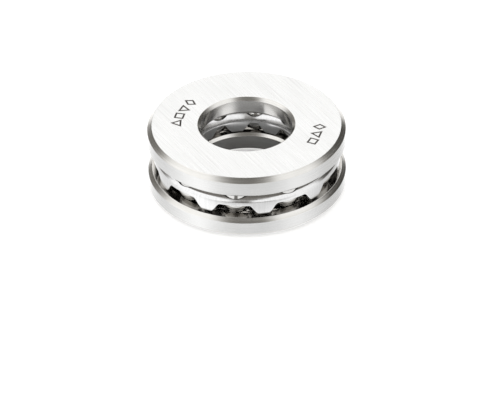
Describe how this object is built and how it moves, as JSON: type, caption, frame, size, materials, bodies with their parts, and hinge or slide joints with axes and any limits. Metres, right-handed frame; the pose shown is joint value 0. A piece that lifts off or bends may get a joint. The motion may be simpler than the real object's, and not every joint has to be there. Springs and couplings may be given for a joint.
{
  "type": "thrust ball bearing",
  "caption": "Single-direction thrust ball bearing: a grooved shaft washer and a grooved housing washer, with a ring of steel balls held in a pressed-steel cage between them.",
  "frame": {"origin": "centre of the housing washer's flat seating face, on the bearing's axis", "axes": "+Z is the bearing's axis, from the housing washer to the shaft washer; +X points at the first ball"},
  "size_m": [0.026, 0.026, 0.009],
  "materials": {
    "washer_steel": "hardened and ground: fine straight grinding lines on the backs, polished ball tracks",
    "cage_steel": "bright pressed sheet",
    "ball_steel": "lapped and polished"
  },
  "bodies": {
    "housing_washer": {"housing_washer": "washer_steel"},
    "shaft_washer": {"shaft_washer": "washer_steel"},
    "ball_cage": {"ball_cage": "cage_steel"},
    "ball_01": {"ball_01": "ball_steel"},
    "ball_02": {"ball_02": "ball_steel"},
    "ball_03": {"ball_03": "ball_steel"},
    "ball_04": {"ball_04": "ball_steel"},
    "ball_05": {"ball_05": "ball_steel"},
    "ball_06": {"ball_06": "ball_steel"},
    "ball_07": {"ball_07": "ball_steel"},
    "ball_08": {"ball_08": "ball_steel"},
    "ball_09": {"ball_09": "ball_steel"},
    "ball_10": {"ball_10": "ball_steel"}
  },
  "joints": [
    {"name": "shaft_spin", "type": "hinge", "parent": "housing_washer", "child": "shaft_washer", "pos_m": [0, 0, 0.009], "axis": [0, 0, 1], "continuous": true},
    {"name": "cage_orbit", "type": "hinge", "parent": "housing_washer", "child": "ball_cage", "pos_m": [0, 0, 0.0045], "axis": [0, 0, 1], "continuous": true},
    {"name": "ball_01_roll", "type": "hinge", "parent": "ball_cage", "child": "ball_01", "pos_m": [0.00967, 0, 0.0045], "axis": [1, 0, 0], "continuous": true},
    {"name": "ball_02_roll", "type": "hinge", "parent": "ball_cage", "child": "ball_02", "pos_m": [0.00782, 0.00568, 0.0045], "axis": [0.809, 0.5878, 0], "continuous": true},
    {"name": "ball_03_roll", "type": "hinge", "parent": "ball_cage", "child": "ball_03", "pos_m": [0.00299, 0.0092, 0.0045], "axis": [0.309, 0.9511, 0], "continuous": true},
    {"name": "ball_04_roll", "type": "hinge", "parent": "ball_cage", "child": "ball_04", "pos_m": [-0.00299, 0.0092, 0.0045], "axis": [-0.309, 0.9511, 0], "continuous": true},
    {"name": "ball_05_roll", "type": "hinge", "parent": "ball_cage", "child": "ball_05", "pos_m": [-0.00782, 0.00568, 0.0045], "axis": [-0.809, 0.5878, 0], "continuous": true},
    {"name": "ball_06_roll", "type": "hinge", "parent": "ball_cage", "child": "ball_06", "pos_m": [-0.00967, 0, 0.0045], "axis": [-1, 0, 0], "continuous": true},
    {"name": "ball_07_roll", "type": "hinge", "parent": "ball_cage", "child": "ball_07", "pos_m": [-0.00782, -0.00568, 0.0045], "axis": [-0.809, -0.5878, 0], "continuous": true},
    {"name": "ball_08_roll", "type": "hinge", "parent": "ball_cage", "child": "ball_08", "pos_m": [-0.00299, -0.0092, 0.0045], "axis": [-0.309, -0.9511, 0], "continuous": true},
    {"name": "ball_09_roll", "type": "hinge", "parent": "ball_cage", "child": "ball_09", "pos_m": [0.00299, -0.0092, 0.0045], "axis": [0.309, -0.9511, 0], "continuous": true},
    {"name": "ball_10_roll", "type": "hinge", "parent": "ball_cage", "child": "ball_10", "pos_m": [0.00782, -0.00568, 0.0045], "axis": [0.809, -0.5878, 0], "continuous": true}
  ],
  "couplings": [
    {"joint": "cage_orbit", "follows": "shaft_spin", "ratio": 0.5},
    {"joint": "ball_01_roll", "follows": "shaft_spin", "ratio": -2.0307},
    {"joint": "ball_02_roll", "follows": "shaft_spin", "ratio": -2.0307},
    {"joint": "ball_03_roll", "follows": "shaft_spin", "ratio": -2.0307},
    {"joint": "ball_04_roll", "follows": "shaft_spin", "ratio": -2.0307},
    {"joint": "ball_05_roll", "follows": "shaft_spin", "ratio": -2.0307},
    {"joint": "ball_06_roll", "follows": "shaft_spin", "ratio": -2.0307},
    {"joint": "ball_07_roll", "follows": "shaft_spin", "ratio": -2.0307},
    {"joint": "ball_08_roll", "follows": "shaft_spin", "ratio": -2.0307},
    {"joint": "ball_09_roll", "follows": "shaft_spin", "ratio": -2.0307},
    {"joint": "ball_10_roll", "follows": "shaft_spin", "ratio": -2.0307}
  ]
}
